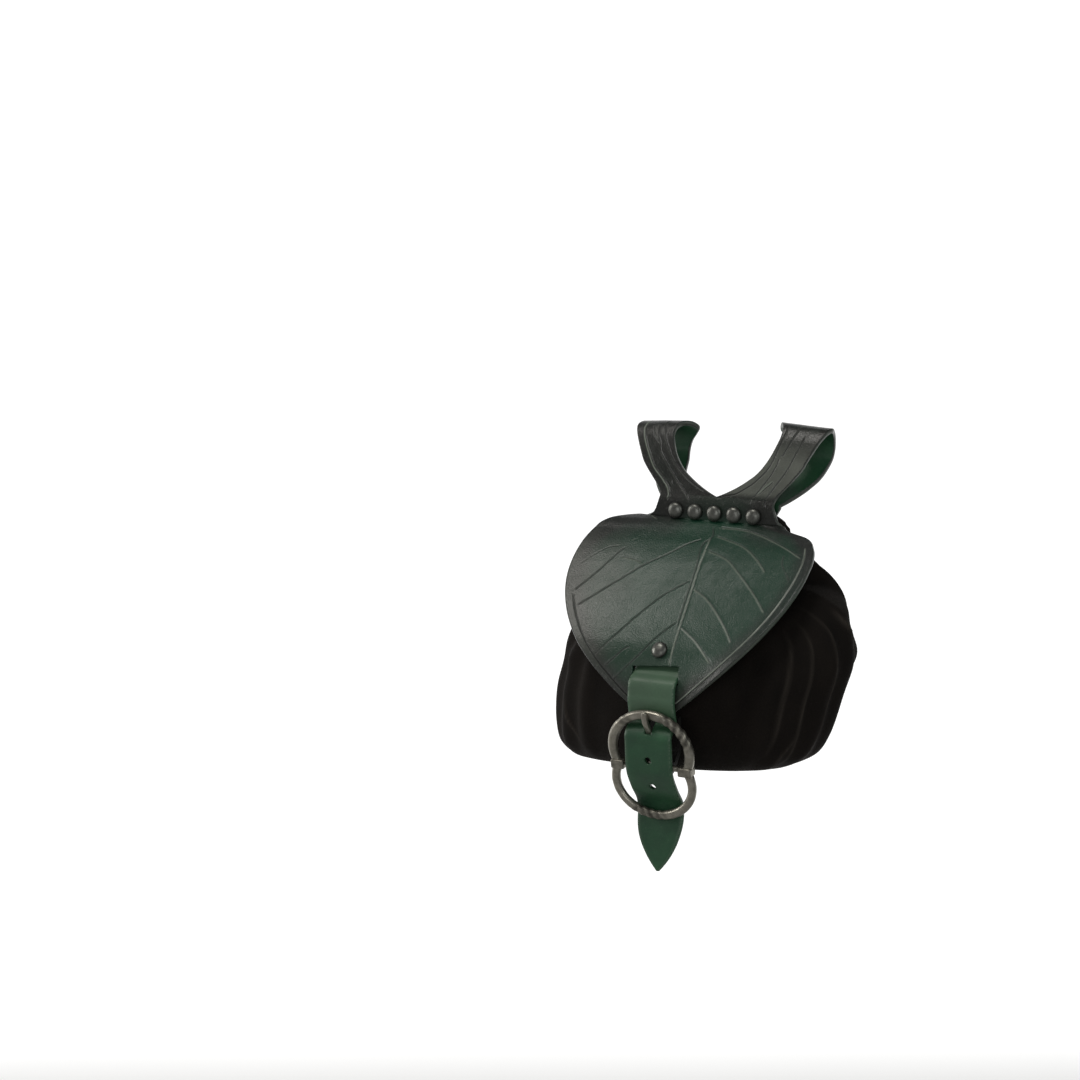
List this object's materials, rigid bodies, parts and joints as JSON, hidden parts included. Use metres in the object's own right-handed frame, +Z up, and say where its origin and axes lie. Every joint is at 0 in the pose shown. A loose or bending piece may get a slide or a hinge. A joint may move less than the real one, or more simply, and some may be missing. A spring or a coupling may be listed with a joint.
{
  "type": "medieval belt pouch",
  "caption": "Belt pouch with a tooled leaf-shaped leather flap, domed rivets, two belt loops, a gathered velvet bag and a closing strap in a cast two-lobed buckle.",
  "frame": {"origin": "the seat of the belt: midway between the two belt loops, under the folds of their straps", "axes": "+Z up, -Y to the front where the flap and the buckle are, +X to the right of someone who looks at the front"},
  "size_m": [0.1662, 0.111, 0.2254],
  "materials": {
    "leaf_leather": "dark green, antiqued to black-brown at the edges, satin sheen",
    "strap_leather": "dark green, satin",
    "tab_leather": "plain dark",
    "velvet": "black-brown velvet",
    "rivet_metal": "antiqued, satin",
    "pewter": "aged cast pewter"
  },
  "bodies": {
    "root": {"leaf_flap": "leaf_leather", "pouch_bag": "velvet", "yoke_rivet_1": "rivet_metal", "yoke_rivet_2": "rivet_metal", "yoke_rivet_3": "rivet_metal", "yoke_rivet_4": "rivet_metal", "yoke_rivet_5": "rivet_metal", "flap_rivet": "rivet_metal", "closing_strap": "strap_leather", "buckle_frame": "pewter", "buckle_prong": "pewter", "buckle_tab": "tab_leather"}
  },
  "joints": []
}
